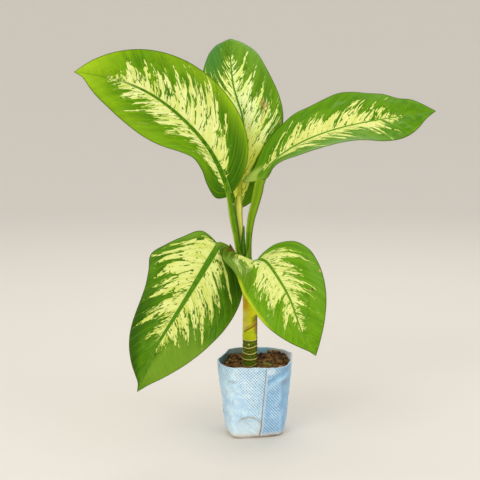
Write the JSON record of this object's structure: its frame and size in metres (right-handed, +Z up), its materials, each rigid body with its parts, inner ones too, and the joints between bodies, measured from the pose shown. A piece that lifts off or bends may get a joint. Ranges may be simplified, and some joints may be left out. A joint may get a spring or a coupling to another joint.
{
  "type": "potted dieffenbachia",
  "caption": "Young variegated dumb cane with broad cream-and-green leaves on a ringed cane, standing in a small soft light-blue fabric grow bag of soil.",
  "frame": {"origin": "centre of the flat base of the bag, on the surface it stands on", "axes": "+Z up along the cane, +X to the right and -Y towards the viewer as pictured"},
  "size_m": [0.4391, 0.241, 0.51],
  "materials": {
    "bag_fabric": "matte light-blue non-woven fabric with a fine diagonal emboss",
    "seam_thread": "matte dark stitched line",
    "potting_soil": "rough crumbly dark brown soil",
    "root": "matte pale fibrous root",
    "cane_bark": "satin yellow-green to ochre stem with pale leaf-scar rings",
    "leaf_variegated": "satin green leaf with cream variegation along the side veins",
    "young_leaf": "satin dark green rolled leaf",
    "dry_sheath": "matte papery brown",
    "weed": "satin yellow-green"
  },
  "bodies": {
    "root": {"grow_bag": "bag_fabric", "bag_seam": "seam_thread", "soil": "potting_soil", "roots": "root", "cane": "cane_bark", "leaf_upper_left": "leaf_variegated", "leaf_top_back": "leaf_variegated", "leaf_right": "leaf_variegated", "leaf_lower_left": "leaf_variegated", "leaf_lower_right": "leaf_variegated", "spear_leaf": "young_leaf", "dry_sheath": "dry_sheath", "weed_sprout": "weed"}
  },
  "joints": []
}
